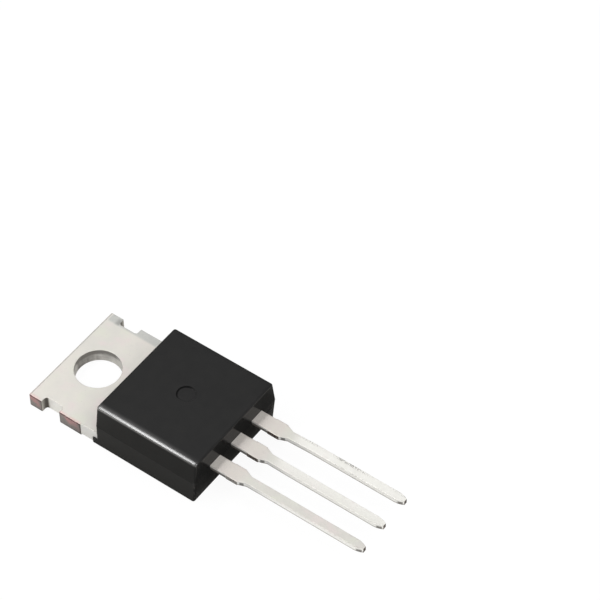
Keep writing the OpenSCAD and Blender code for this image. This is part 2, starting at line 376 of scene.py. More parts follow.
# sizes are in millimetres and angles in degrees
mould = {
    "tabEnd": 3.83, "length": 9.3, "width": 9.92, "height": 4.28, "partingHeight": 2.24, "sideways": -0.03,
    "sideDraft": 7.6, "endDraft": 1.2, "sideBaseDraft": 0.2, "endBaseDraft": 5.6,
    "cornerRadius": 0.17, "edgeRadius": 0.17, "endEdge": 0.5, "rollWidth": 0.24, "rollAngle": 7.0,
    "footRadius": 0.03, "flash": 0.005, "padProud": 0.01, "guard": 0.03,
    "lipLength": 0.4, "lipHeight": 0.6, "lipRoot": 0.6, "lipGap": 0.01, "lipEdge": 0.02,
    "markX": 8.465, "markY": 0.12, "markRadius": 0.75, "markDepth": 0.06,
    "gateY": 4.02, "gateZ": 1.64, "gateWidth": 1.1, "gateHeight": 0.62,
    "black": (0.0088, 0.0088, 0.0088), "softBlack": (0.0112, 0.0111, 0.0109),
    "filler": (0.045, 0.044, 0.042), "lowerPaintedLight": (0.016, 0.016, 0.0158), "paintedShade": (0.001, 0.001, 0.001),
    "rubAndHalo": (0.088, 0.086, 0.085), "haloFade": (15.5, 8.0), "scuffed": (0.075, 0.07, 0.068),
    "mattRoughness": 0.43, "polishedRoughness": 0.17,
}
bodyEnd = mould["tabEnd"] + mould["length"]


def bodyRing(bm, z, tabInset, leadInset, sideInset, steps=8):
    # level outline of the moulded body; the corners keep their radius
    radius = mould["cornerRadius"]
    tabX = mould["tabEnd"] + tabInset + radius
    leadX = bodyEnd - leadInset - radius
    y = mould["width"] / 2 - sideInset - radius
    ring = []
    for cornerX, cornerY, start in ((leadX, y, 0), (tabX, y, 90), (tabX, -y, 180), (leadX, -y, 270)):
        for i in range(steps + 1):
            a = radians(start + 90 * i / steps)
            x = cornerX + radius * cos(a)
            ring.append(bm.verts.new((x, cornerY + radius * sin(a) + mould["sideways"], z)))
    return ring


def bodyRings(bm):
    parting, height, flash = mould["partingHeight"], mould["height"], mould["flash"]
    under, foot, guard = mould["padProud"], mould["footRadius"], mould["guard"]
    sideT, endT = tan(radians(mould["sideDraft"])), tan(radians(mould["endDraft"]))
    sideB, endB = tan(radians(mould["sideBaseDraft"])), tan(radians(mould["endBaseDraft"]))
    rings = []

    def wall(z, extra=0.0, endExtra=None):
        # the tab end keeps one draft all the way down, because the mould halves meet on the tab
        up, down = max(z - parting, 0), max(parting - z, 0)
        endExtra = extra if endExtra is None else endExtra
        tabInset = flash + (z - parting) * endT + endExtra
        leadInset = flash + up * endT + down * endB + endExtra
        rings.append(bodyRing(bm, z, tabInset, leadInset, flash + up * sideT + down * sideB + extra))

    # the bare pad stands proud of the moulding, whose foot is rounded
    wall(under, foot + guard)
    for i in range(4):
        a = radians(90 * i / 3)
        wall(under + foot * (1 - cos(a)), foot * (1 - sin(a)))
    wall(under + foot + 0.04)

    # a hairline of flash where the mould halves met
    for away, extra in ((-0.03, 0), (-0.012, 0), (-0.005, -flash), (0.005, -flash), (0.012, 0), (0.03, 0)):
        wall(parting + away, extra)

    # the top edge: a tight arc, then a shallow roll that runs out in the flat
    edge, share, wide = mould["edgeRadius"], mould["endEdge"], mould["rollWidth"]
    draft, roll = radians(mould["sideDraft"]), radians(mould["rollAngle"])
    arcTop = height - wide * tan(roll) / 2
    arcFoot = arcTop - edge * (cos(roll) - sin(draft))
    wall(arcFoot - guard)
    for i in range(9):
        a = draft + (radians(90) - roll - draft) * i / 8
        z = arcTop - edge * (cos(roll) - sin(a))
        out = edge * (cos(draft) - cos(a)) - (z - arcFoot) * sideT
        wall(z, out, out * share - (z - arcFoot) * endT * (1 - share))
    arcOut = edge * (cos(draft) - sin(roll)) - (arcTop - arcFoot) * sideT
    for i in range(1, 6):
        t = i / 5
        z = arcTop + wide * tan(roll) * (t - t * t / 2)
        out = arcOut + wide * t - (z - arcTop) * sideT
        wall(z, out, out * share)
    wall(height, out + guard, out * share + guard)
    return rings


def markRings(bm):
    # the ejector pin's mark: a shallow round dish in the top, from its rim to its floor
    rings = []
    turns = [radians(7.5 * i) for i in range(48)]
    for grow, drop in ((0.03, 0), (0, 0), (-0.02, 0.3), (-0.05, 0.9), (-0.09, 1), (-0.13, 1)):
        radius = mould["markRadius"] + grow
        z = mould["height"] - mould["markDepth"] * drop
        spots = [(mould["markX"] + radius * cos(a), mould["markY"] + radius * sin(a), z) for a in turns]
        rings.append([bm.verts.new(spot) for spot in spots])
    return rings


def addLips(bm):
    # the lips beside the neck of the tab
    leaning = mould["partingHeight"] * tan(radians(mould["sideBaseDraft"]))
    outer = mould["width"] / 2 - leaning - mould["flash"]
    inner = tab["halfWidth"] - tab["neckInset"] - mould["lipGap"]
    startX, endX = mould["tabEnd"] - mould["lipLength"], mould["tabEnd"] + mould["lipRoot"]
    for side in (-1, 1):
        low, high = sorted((side * inner, side * outer + mould["sideways"]))
        box(bm, (startX, low, mould["padProud"]), (endX, high, mould["lipHeight"]), mould["lipEdge"])


def bodyMesh():
    bm = bmesh.new()
    rings = bodyRings(bm)
    skin(bm, rings)
    cap(bm, [rings[0]], False)
    dish = markRings(bm)
    skin(bm, dish)
    cap(bm, [rings[-1], dish[0]], True)
    cap(bm, [dish[-1]], True)
    addLips(bm)
    mesh = meshOf("mouldedBody", bm)
    # the lead side takes the second finish
    leadSide = (bodyEnd - 0.35) * mm
    for face in mesh.polygons:
        face.material_index = int(face.normal.x > 0.85 and face.center.x > leadSide)
    return mesh


def epoxyColour(f):
    # near-black compound with faint clouds and a few pale specks of filler
    cloud = f.noise(0.9, 3)
    specks = f.cells(5.0).rise(0.13, 0.05) * f.noise(1.7, 2, lift=3).rise(0.5, 0.62)
    colour = f.blend(cloud.rise(0.3, 0.7), mould["black"], mould["softBlack"])
    return cloud, f.blend(specks * 0.5, colour, mould["filler"])


def mattEpoxy():
    f = Finish("mattEpoxy", Specular_IOR_Level=0.235, Coat_IOR=2.2, Coat_Roughness=0.2)
    cloud, colour = epoxyColour(f)
    parting, height, wide = mould["partingHeight"], mould["height"], mould["width"] / 2
    # painted light: the walls below the parting are painted a shade paler, evening them with the upper walls
    # that catch more of the lamps
    below = f.z.rise(parting + 0.01, parting - 0.01)
    colour = f.blend(below * 0.3, colour, mould["lowerPaintedLight"])
    grain = f.noise(14, 4, 0.6)
    rough = mould["mattRoughness"] + (cloud - 0.5) * 0.12 + (grain - 0.5) * 0.1
    # painted highlight: a pale halo painted along the long near edge, fading towards the lead end; the same
    # edge also has a glossy coat
    edgeY = wide - (height - parting) * tan(radians(mould["sideDraft"]))
    near = 0 - f.y
    upper = f.z.rise(height - 0.3, height - 0.12)
    shiny = near.rise(edgeY - 0.36, edgeY - 0.04) * upper
    paintedHalo = near.rise(edgeY - 0.6, edgeY - 0.12) * upper
    paintedHalo = paintedHalo * (0.7 + f.noise(1.3, 3, lift=7) * 0.6) * f.x.rise(*mould["haloFade"])
    colour = f.blend(paintedHalo, colour, mould["rubAndHalo"])
    # the foot of the near corner is scuffed
    corner = f.x.rise(bodyEnd - 0.3, bodyEnd - 0.1) * near.rise(wide - 0.12, wide - 0.02)
    corner = corner * f.z.rise(parting + 0.36, parting - 0.14)
    colour = f.blend(corner * f.noise(3, 3, lift=9).rise(0.4, 0.6) * 0.6, colour, mould["scuffed"])
    # painted shade: the upper-left wall of the ejector pin's mark is painted near-black, and is rougher there
    radius = mould["markRadius"]
    offX, offY = f.x - mould["markX"], f.y - mould["markY"]
    away = (offX * offX + offY * offY).sqrt()
    ring = away.between(radius - 0.15, radius - 0.1, radius - 0.01, radius + 0.03)
    ring = ring * (offY * 0.3 - offX).rise(-0.1, 0.45) * f.z.rise(height - 0.28, height - 0.18)
    colour = f.blend(ring * 0.9, colour, mould["paintedShade"])
    relief = grain * 0.5 + f.noise(40, 2) * 0.25
    return f.finish(colour, rough + ring * 0.5, relief, depth=0.006, Coat_Weight=shiny * shiny * (1 - ring))


def polishedEpoxy():
    # the lead side left a smoother face of the mould, and the gate was broken off near one of its corners
    f = Finish("polishedEpoxy", Specular_IOR_Level=0.2)
    cloud, colour = epoxyColour(f)
    farY = abs(f.y - mould["gateY"]) / (mould["gateWidth"] / 2)
    farZ = abs(f.z - mould["gateZ"]) / (mould["gateHeight"] / 2)
    spread = farY.most(farZ + (f.y - mould["gateY"]) * 0.35)
    scar = spread.rise(1.02, 0.92)
    rim = spread.between(0.85, 0.97, 1.03, 1.15)
    rough = mould["polishedRoughness"] + (cloud - 0.5) * 0.08 + scar * 0.3
    relief = f.noise(14, 3) * 0.05 + rim * 1.2 + scar * f.noise(9, 4) * 2
    return f.finish(colour, rough, relief, depth=0.006)


tin = {
    "pinkish": (0.79, 0.70, 0.685), "greenish": (0.74, 0.75, 0.65), "cloudy": (0.63, 0.60, 0.56),
    "speck": (0.3, 0.28, 0.26), "metallic": 0.35, "roughness": 0.44,
}


def tinFinish(name, sizes, marks):
    # matt tin over stamped copper; marks adds what the tools left on this piece
    f = Finish(name, Metallic=tin["metallic"])
    cloud = f.noise(0.5, 3, 0.55)
    tint = f.noise(0.7, 2, lift=4)
    mottle = f.noise(3.2, 4, 0.6)
    grain = f.noise(22, 3, 0.6)
    colour = f.blend(cloud.rise(0.3, 0.7), sizes["pale"], sizes["dull"])
    colour = f.blend(tint.rise(0.5, 0.68) * 0.55, colour, tin["pinkish"])
    colour = f.blend(tint.rise(0.48, 0.3) * 0.55, colour, tin["greenish"])
    colour = f.blend(mottle.rise(0.55, 0.8) * 0.3, colour, tin["cloudy"])
    specks = f.cells(3.2).rise(0.1, 0.04) * f.noise(1.1, 2, lift=9).rise(0.48, 0.6)
    colour = f.blend(specks * 0.4, colour, tin["speck"])
    rough = tin["roughness"] + (mottle - 0.5) * 0.14 + (grain - 0.5) * 0.1
    colour, rough = marks(f, colour, rough)
    return f.finish(colour, rough, grain + f.noise(60, 2) * 0.5, depth=0.004)


tab = {
    "end": -2.67, "halfWidth": 4.975, "thickness": 1.22, "holeRadius": 1.84,
    "ear": 1.2, "notch": 1.69, "notchDepth": 0.58, "notchRadius": 0.22, "shoulder": 2.05, "neckInset": 0.1,
    "padCover": 0.3, "padLength": 6.1, "padHalfFace": 4.05, "padHalfWidth": 4.35, "ledgeHeight": 0.6,
    "cornerRadius": 0.07, "topEdge": 0.05, "underEdge": 0.03, "ledgeEdge": 0.04,
    "pale": (0.775, 0.745, 0.685), "dull": (0.73, 0.71, 0.66), "burnishAndHighlight": (0.96, 0.955, 0.93),
    "notchShadePale": (0.28, 0.265, 0.24), "notchShadeDeep": (0.08, 0.072, 0.062),
    "pressed": (0.55, 0.555, 0.53), "bruised": (0.24, 0.24, 0.23), "scored": (0.27, 0.26, 0.245),
    "flush": (0.80, 0.53, 0.51), "cutGrey": (0.225, 0.203, 0.192), "cutPink": (0.45, 0.245, 0.24),
    "cutPale": (0.62, 0.56, 0.54), "tornLine": (0.10, 0.04, 0.04), "cutRim": (0.06, 0.05, 0.046),
    "boreShade": (0.17, 0.158, 0.148), "boreHighlight": (0.62, 0.605, 0.58), "boreDirection": (0.81, 0.59),
}
earX = tab["end"] + tab["ear"]
shoulderX = earX + tab["notch"]
neckX = shoulderX + tab["shoulder"]
padStart = mould["tabEnd"] + tab["padCover"]
padEnd = mould["tabEnd"] + tab["padLength"]


def tabOutline():
    # half of the outline from the pad round to the middle of the outer end, then mirrored
    wide, inset = tab["halfWidth"], tab["neckInset"]
    soft, root = tab["cornerRadius"], tab["notchRadius"]
    half = [
        (padEnd, tab["padHalfFace"], 0.1), (padStart, tab["padHalfFace"], 0.05),
        (padStart, wide - inset, 0.05), (neckX + inset, wide - inset, 0.03), (neckX, wide, 0.03),
        (shoulderX, wide, soft), (shoulderX, wide - tab["notchDepth"], root),
        (earX, wide - tab["notchDepth"], root), (earX, wide, soft), (tab["end"], wide, soft),
    ]
    return half + [(x, -y, r) for x, y, r in reversed(half)]


def tabMesh():
    # the tab and the die pad in one, with the pad's locking ledges
    bm = bmesh.new()
    outlines = [roundedLoop(tabOutline()), circle(0, 0, tab["holeRadius"])]
    plate(bm, outlines, 0, tab["thickness"], tab["underEdge"], tab["topEdge"])
    for side in (-1, 1):
        low, high = sorted((side * (tab["padHalfFace"] - 0.2), side * tab["padHalfWidth"]))
        box(bm, (padStart + 0.1, low, tab["ledgeHeight"]), (padEnd, high, tab["thickness"]), tab["ledgeEdge"])
    return meshOf("tabPlate", bm)


def notchMarks(f, colour, wall, blotch):
    wide, out = tab["halfWidth"], abs(f.y)
    # the long sides of the notches and of the neck are burnished tin, painted near-white as a highlight
    notchSide = out.rise(wide - 0.5, wide - 0.54) * f.x.rise(earX + 0.15, earX + 0.35)
    bright = wall * notchSide.most(f.x.rise(neckX, neckX + 0.05))
    colour = f.blend(bright * (0.5 + blotch * 0.5), colour, tab["burnishAndHighlight"])
    # painted shade: the ear's inner face is painted dark, darkest towards the root of the notch
    inner = wall * f.x.between(earX - 0.04, earX - 0.01, earX + 0.12, earX + 0.26)
    inner = inner * out.rise(wide - 0.62, wide - 0.58)
    root = out.rise(wide, wide - 0.45)
    return f.blend(inner * (0.6 + root * 0.4), colour, f.blend(root, tab["notchShadePale"], tab["notchShadeDeep"]))


def topMarks(f, colour, onTop, blotch, fine):
    wide, end = tab["halfWidth"], tab["end"]
    # the far corners were pressed down a little when the strips were cut apart
    pressed = onTop * f.y.rise(wide - 0.88, wide - 0.6) * f.x.rise(neckX + 0.05, neckX - 0.1)
    pressed = pressed * (f.x + blotch * 0.5).rise(end + 0.35, end + 0.6)
    colour = f.blend(pressed * (0.6 + fine * 0.6), colour, tab["pressed"])
    bruise = pressed * f.x.between(earX - 0.5, earX - 0.15, earX, earX + 0.1) * f.y.rise(wide, wide - 0.3)
    colour = f.blend(bruise * 0.55, colour, tab["bruised"])
    # a scored line just inside the outer end
    score = onTop * f.x.between(end + 0.03, end + 0.06, end + 0.10, end + 0.15)
    return f.blend(score * (0.2 + blotch * 0.6), colour, tab["scored"])


def cutCopper(f, colour, wall, blotch, fine):
    # bare copper on the outer faces of ears and shoulders, and a flush of it over their near edges
    wide, near = tab["halfWidth"], 0 - f.y
    outer = f.x.rise(neckX + 0.04, neckX)
    flush = (1 - wall) * outer * near.rise(wide - 0.34, wide - 0.04)
    flush = flush * (blotch * 0.6 + fine * 0.4).rise(0.36, 0.56)
    colour = f.blend(flush * 0.7, colour, tab["flush"])
    cut = outer * near.rise(wide - 0.04, wide - 0.015).most(f.y.rise(wide - 0.02, wide - 0.004) * wall)
    # along runs from 0 to 1 over the ear, and again over the shoulder
    onShoulder = f.x > (earX + shoulderX) / 2
    length = tab["ear"] + onShoulder * (tab["shoulder"] - tab["ear"])
    along = (f.x - tab["end"] - onShoulder * (shoulderX - tab["end"])) / length
    high = f.z / tab["thickness"]
    smear = f.noise(2.2, 3, where=f.stretched(0.8, 1, 3.5), lift=3)
    pink = high * 0.45 + blotch * 0.5 + smear * 0.8 - abs(high - 1 + along * 0.7) * 0.6
    pink = pink - onShoulder * along.rise(0.4, 0.15) * 0.35 - along.rise(0.75, 0.95) * 0.15
    bare = f.blend(pink.rise(0.6, 0.98), tab["cutGrey"], tab["cutPink"])
    bare = f.blend(f.noise(11, 2, lift=4).rise(0.55, 0.8) * 0.4, bare, tab["cutPale"])
    colour = f.blend(cut, colour, bare)
    # torn lines below the top, and a dark rim round the rest
    lines = cut * high.rise(0.86, 0.93) * fine.rise(0.3, 0.45)
    colour = f.blend(lines * 0.85, colour, tab["tornLine"])
    rim = high.rise(0.14, 0.05).most(along.rise(0.93, 0.97)).most(along.rise(0.06, 0.03))
    return f.blend(cut * rim * 0.65, colour, tab["cutRim"]), cut


def punchedBore(f, colour, wall):
    # painted shade and highlights on the bore's wall: dark below the rim, brighter towards the body and at
    # the two sides seen across the view, with upright streaks
    radius = tab["holeRadius"]
    bore = wall * (f.x * f.x + f.y * f.y).sqrt().rise(radius + 0.03, radius + 0.01)
    streak = f.noise(2.6, 3, where=f.stretched(1, 1, 0.3), lift=2)
    level = f.noise(1.4, 3, where=f.stretched(1, 1, 5), lift=3)
    partX, partY = tab["boreDirection"]
    across = (f.x * partX + f.y * partY) / radius
    shine = across * 0.2 + across.rise(-0.86, -0.98) * 0.5 + across.rise(0.7, 0.99) * 0.4 + 0.06
    shine = shine + streak * 0.65 + level * 0.5 - (f.z / tab["thickness"]).rise(0.5, 0.9) * 0.45
    bored = f.blend(shine.rise(0.3, 0.85), tab["boreShade"], tab["boreHighlight"])
    return f.blend(bore * 0.9, colour, bored), bore


def tabMarks(f, colour, rough):
    wall = f.z.rise(tab["thickness"] - 0.025, tab["thickness"] - 0.045)
    blotch, fine = f.noise(1.6, 3, lift=5), f.noise(6, 3, lift=6)
    colour = notchMarks(f, colour, wall, blotch)
    colour = topMarks(f, colour, 1 - wall, blotch, fine)
    colour, cut = cutCopper(f, colour, wall, blotch, fine)
    colour, bore = punchedBore(f, colour, wall)
    return colour, rough + cut * 0.1 + bore * 0.06


lead = {
    "pitch": 2.54, "thickness": 0.43, "underside": 2.24, "end": 26.4,
    "slimWidth": 0.74, "rootWidth": 1.24, "rootLength": 2.42, "taper": 0.65,
    "stubLength": 1.0, "stubOut": 0.04, "tipWidth": 0.3, "tipLength": 0.8, "edge": 0.035,
    "bend": 0.35, "stepAngle": 50.0, "postWidth": 2.3, "postLength": 1.5, "postGap": 0.35, "lockHole": 0.25,
    "postCorner": 0.1, "postEdge": 0.03, "overlap": 0.1,
    "lean": {-1: 0.02, 0: -0.03, 1: 0.08}, "leanRun": 3.0,
    "pale": (0.725, 0.715, 0.66), "dull": (0.69, 0.665, 0.625),
    "rootTint": (0.72, 0.645, 0.605), "stain": (0.36, 0.32, 0.29), "rootPaintedLight": (0.95, 0.90, 0.84),
    "cleanTop": (0.95, 0.94, 0.895), "mottle": (0.56, 0.56, 0.52),
    "scuff": (0.20, 0.19, 0.175), "scuffFrom": 19.6, "scuffTo": 24.0,
    "sheared": (0.98, 0.975, 0.95), "torn": (0.33, 0.32, 0.31), "paintedShade": (0.10, 0.085, 0.07),
    "stubDark": (0.045, 0.036, 0.03), "stubBrown": (0.24, 0.195, 0.17), "stubPale": (0.34, 0.32, 0.295),
    "spot": (0.13, 0.125, 0.12), "bruise": (0.16, 0.15, 0.14),
    "cropDark": (0.03, 0.026, 0.024), "cropBrown": (0.16, 0.12, 0.10),
}
leadTop = lead["underside"] + lead["thickness"]
rootEnd = bodyEnd + lead["rootLength"]
stubX = rootEnd - lead["stubLength"]
taperEnd = rootEnd + lead["taper"]
tipX = lead["end"] - lead["tipLength"]
postX = padEnd + lead["postGap"]
postEnd = postX + lead["postLength"]


def leadPath(stepped):
    # side view of a lead's centreline, as (x, z); the middle lead steps up from the pad
    mid = lead["underside"] + lead["thickness"] / 2
    if stepped:
        a = radians(lead["stepAngle"])
        r = lead["bend"] + lead["thickness"] / 2
        low = tab["thickness"] - lead["thickness"] / 2
        slope = (mid - low - 2 * r * (1 - cos(a))) / sin(a)
        turns = [a * i / 6 for i in range(7)]
        farX = padEnd + 2 * r * sin(a) + slope * cos(a)
        path = [(padEnd - lead["overlap"] * 2, low)]
        path += [(padEnd + r * sin(t), low + r * (1 - cos(t))) for t in turns]
        path += [(farX - r * sin(t), mid - r * (1 - cos(t))) for t in reversed(turns)]
    else:
        path = [(postEnd - lead["overlap"], mid)]
    # close pairs of points keep the stubs' ends square
    path += [(x + side, mid) for x in (stubX, rootEnd) for side in (-0.012, 0.012)]
    path += [(taperEnd + (tipX - taperEnd) * i / 14, mid) for i in range(15)]
    path += [(tipX + lead["tipLength"] * k, mid) for k in (0.15, 0.3, 0.45, 0.6, 0.75, 0.88, 1)]
    return path


def leadSizes(row):
    return {
        "Root width": lead["rootWidth"], "Slim width": lead["slimWidth"], "Tip width": lead["tipWidth"],
        "Thickness": lead["thickness"], "Edge radius": lead["edge"],
        "Root end": rootEnd, "Taper": lead["taper"], "Tip length": lead["tipLength"], "End": lead["end"],
        "Stub length": lead["stubLength"], "Stub out": lead["stubOut"],
        "Sideways": row * lead["pitch"], "Lean": lead["lean"][row], "Lean run": lead["leanRun"],
    }


def buildLeadTree():
    # a flat strip along its path; its width follows the distance from the body
    maker, given = newTree("leadStrip", leadSizes(0))
    get = given.out
    slim = get("Slim width")
    section = maker.node(
        "GeometryNodeCurvePrimitiveQuadrilateral", {}, {"Width": slim, "Height": get("Thickness")})
    section = maker.node("GeometryNodeSubdivideCurve", {}, {0: section, "Cuts": 9})
    section = maker.node(
        "GeometryNodeFilletCurve", {"mode": "POLY"}, {0: section, "Count": 4, "Radius": get("Edge radius")})
    solid, x, y, z = sweep(maker, given, section)
    root = get("Root end")
    atRoot = 1 - x.rise(root, root + get("Taper"), "LINEAR")
    atStub = (x > root - get("Stub length")) * (x < root)
    atTip = x.rise(get("End") - get("Tip length"), get("End"), "LINEAR")
    width = slim + atRoot * (get("Root width") - slim) + atStub * get("Stub out") * 2
    width = width - atTip * atTip * (slim - get("Tip width"))
    lean = x.rise(root, root + get("Lean run")) * get("Lean")
    shift = maker.node("ShaderNodeCombineXYZ", {}, {"Y": y * (width / slim - 1) + get("Sideways") + lean})
    solid = maker.node("GeometryNodeSetPosition", {}, {0: solid, "Offset": shift})
    return closeTree(maker, solid, given)


def leadMesh(tree, row, finish):
    return grownMesh(tree, polyline("leadPath", leadPath(row == 0)), leadSizes(row), finish)


def postMesh(row):
    # the wide inner end of an outer lead, with its locking hole
    bm = bmesh.new()
    wide, edge = lead["postWidth"], lead["postEdge"]
    y = row * (lead["pitch"] - (wide - lead["rootWidth"]) / 4)
    corners = [(postX, y - wide / 2), (postEnd, y - wide / 2), (postEnd, y + wide / 2), (postX, y + wide / 2)]
    outline = roundedLoop([(a, b, lead["postCorner"]) for a, b in corners])
    hole = circle(postEnd - lead["lockHole"] * 2, y, lead["lockHole"], 32)
    plate(bm, [outline, hole], lead["underside"], leadTop, edge, edge)
    return meshOf("post", bm)


def wornTops(f, colour, onTop, blotch, fine):
    # the roots are pinker, with stains close to the moulding
    atRoot = f.x.rise(taperEnd, rootEnd - 0.2)
    colour = f.blend(atRoot * (0.2 + blotch * 0.6), colour, lead["rootTint"])
    stain = f.x.rise(rootEnd - 0.9, bodyEnd + 0.2) * fine.rise(0.42, 0.62)
    colour = f.blend(stain * 0.2, colour, lead["stain"])
    # painted light: the tops of the roots are painted paler next to the moulding, against the shade it casts
    # on them
    colour = f.blend(onTop * f.x.rise(bodyEnd + 0.9, bodyEnd) * 0.8, colour, lead["rootPaintedLight"])
    # the slim parts are cleaner, most of all on the far lead
    clean = onTop * f.x.rise(taperEnd, taperEnd + 1.2) * f.y.rise(-2.5, 1.0)
    colour = f.blend(clean * (0.4 + blotch * 0.8), colour, lead["cleanTop"])
    mottle = onTop * (fine * 0.7 + blotch * 0.3).rise(0.44, 0.66) * (1 - f.y.rise(0.0, 2.0) * 0.6)
    colour = f.blend(mottle * 0.26, colour, lead["mottle"])
    # scuffs along both edges of the slim part, most of them on the far lead
    across = abs((f.y / lead["pitch"] + 0.5).wrap(0, 1) - 0.5) * lead["pitch"]
    start, end = lead["scuffFrom"], lead["scuffTo"]
    rubAndHalo = f.x.between(start, start + 0.9, end - 2.4, end) * f.y.rise(1.5, 2.0)
    rubAndHalo = rubAndHalo.most(f.noise(0.45, 2, lift=8).rise(0.52, 0.62) * 0.6)
    scuff = onTop * across.rise(0.16, 0.33) * (fine + rubAndHalo * 0.07).rise(0.52, 0.61)
    scuff = scuff * f.x.rise(taperEnd, taperEnd + 1.5)
    return f.blend(scuff * rubAndHalo * 0.75, colour, lead["scuff"])


def shearedSides(f, colour, wall, high, blotch, fine):
    # burnished above, torn and grey along the foot
    colour = f.blend(wall * high.rise(0.2, 0.35), colour, lead["sheared"])
    colour = f.blend(wall * high.rise(0.40, 0.22) * (0.25 + blotch * 0.6), colour, lead["torn"])
    # painted shade: the sides between the moulding and the stubs are painted dark below their top edge
    nearBody = wall * f.x.rise(stubX + 0.05, stubX - 0.1)
    colour = f.blend(nearBody * high.rise(0.85, 0.5) * 0.85, colour, lead["paintedShade"])
    # bare ends of the strips that tied the leads together; the near lead's is paler
    stub = wall * f.x.rise(stubX - 0.02, stubX) * f.x.rise(rootEnd + 0.02, rootEnd)
    bare = f.blend(fine.rise(0.4, 0.65), lead["stubDark"], lead["stubBrown"])
    bare = f.blend(f.y.rise(-1.2, -1.4) * fine.rise(0.35, 0.5), bare, lead["stubPale"])
    colour = f.blend(stub, colour, bare)
    # painted shade on the sides of the taper just past the stubs, below their top edge
    spot = wall * f.x.between(rootEnd + 0.12, rootEnd + 0.22, rootEnd + 0.42, rootEnd + 0.52)
    return f.blend(spot * high.rise(0.9, 0.75) * 0.85, colour, lead["spot"]), stub


def croppedTips(f, colour, wall, high, fine):
    # a dark face, and a bruise on the taper
    end = lead["end"]
    bruise = wall * f.x.between(tipX + 0.2, tipX + 0.4, end - 0.14, end - 0.06) * high.rise(0.85, 0.6)
    colour = f.blend(bruise * (0.4 + fine), colour, lead["bruise"])
    crop = f.x.rise(end - 0.015, end - 0.005)
    return f.blend(crop, colour, f.blend(fine.rise(0.35, 0.65), lead["cropDark"], lead["cropBrown"])), crop


def leadMarks(f, colour, rough):
    # high runs from 0 at a lead's underside to 1 at its top
    high = (f.z - lead["underside"]) / lead["thickness"]
    wall = high.between(0.0, 0.04, 0.9, 0.97)
    blotch, fine = f.noise(2.4, 3, lift=5), f.noise(9, 3, lift=6)
    colour = wornTops(f, colour, high.rise(0.97, 0.99), blotch, fine)
    colour, stub = shearedSides(f, colour, wall, high, blotch, fine)
    colour, crop = croppedTips(f, colour, wall, high, fine)
    return colour, rough + stub * 0.2 + crop * 0.2


die = {
    "setback": 1.6, "length": 2.6, "thickness": 0.28, "solder": 0.06,
    "saw": (0.16, 0.165, 0.18), "metalTop": (0.62, 0.62, 0.63), "haze": (0.3, 0.3, 0.32),
    "solderPale": (0.48, 0.48, 0.49), "solderDull": (0.36, 0.36, 0.37),
}
dieX = padEnd - die["setback"] - die["length"] / 2
dieTop = tab["thickness"] + die["solder"] + die["thickness"]


def dieFinish():
    f = Finish("siliconDie", Metallic=0.6)
    top = f.z.rise(dieTop - 0.012, dieTop - 0.004)
    grain = f.noise(30, 3)
    colour = f.blend(top, die["saw"], die["metalTop"])
    colour = f.blend(grain.rise(0.4, 0.7) * 0.3, colour, die["haze"])
    return f.finish(colour, 0.24 + grain * 0.15, grain, depth=0.002)


def solderFinish():
    f = Finish("solder", Metallic=1.0)
    ripple = f.noise(4, 4, 0.6)
    colour = f.blend(ripple.rise(0.3, 0.7), die["solderPale"], die["solderDull"])
    return f.finish(colour, 0.3 + ripple * 0.25, ripple, depth=0.02)


def finishNodes(name, finish):
    # the CAD's own solids stay, with a better material
    for number in (1, 2):
        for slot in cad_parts["%s_%d" % (name, number)].material_slots:
            slot.material = finish


wire = {
    "diameter": 0.38, "spacing": 1.0, "dieSpacing": 4.1,
    "footLength": 0.8, "footWidth": 0.55, "footHeight": 0.24,
    "riseAngle": 45.0, "fallAngle": 25.0, "crest": 0.9, "heel": 0.5,
    "bright": (0.80, 0.81, 0.82), "dull": (0.68, 0.69, 0.70),
}
wireEnd = postX + lead["postLength"] / 2
wireSizes = {
    "Diameter": wire["diameter"], "Foot width": wire["footWidth"], "Foot height": wire["footHeight"],
    "Foot length": wire["footLength"], "Start": dieX, "End": wireEnd,
    "Start height": dieTop, "End height": leadTop,
    "Spacing": wire["spacing"], "Die spacing": wire["dieSpacing"],
}


def buildWireTree():
    # a round wire along its path with both ends pressed flat, in two pairs
    maker, given = newTree("bondWires", wireSizes)
    get = given.out
    section = maker.node(
        "GeometryNodeCurvePrimitiveCircle", {}, {"Resolution": 14, "Radius": get("Diameter") / 2})
    solid, x, y, z = sweep(maker, given, section)
    reach = get("Foot length")
    atStart = 1 - x.rise(get("Start") + reach * 0.4, get("Start") + reach * 0.7)
    atEnd = x.rise(get("End") - reach * 0.7, get("End") - reach * 0.4)
    pressed = atStart + atEnd
    seatZ = atStart * get("Start height") + atEnd * get("End height")
    wider = y * pressed * (get("Foot width") / get("Diameter") - 1)
    lower = (z - seatZ) * pressed * (get("Foot height") / get("Diameter") - 1)
    shift = maker.node("ShaderNodeCombineXYZ", {}, {"Y": wider, "Z": lower})
    solid = maker.node("GeometryNodeSetPosition", {}, {0: solid, "Offset": shift})
    for step in ("Spacing", "Die spacing"):
        start = maker.node("ShaderNodeCombineXYZ", {}, {"Y": get(step) * -0.5})
        offset = maker.node("ShaderNodeCombineXYZ", {}, {"Y": get(step)})
        spots = maker.node(
            "GeometryNodeMeshLine", {}, {"Count": 2, "Start Location": start, "Offset": offset})
        solid = maker.node("GeometryNodeInstanceOnPoints", {}, {0: spots, "Instance": solid})
        solid = maker.node("GeometryNodeRealizeInstances", {}, {0: solid})
    return closeTree(maker, solid, given)


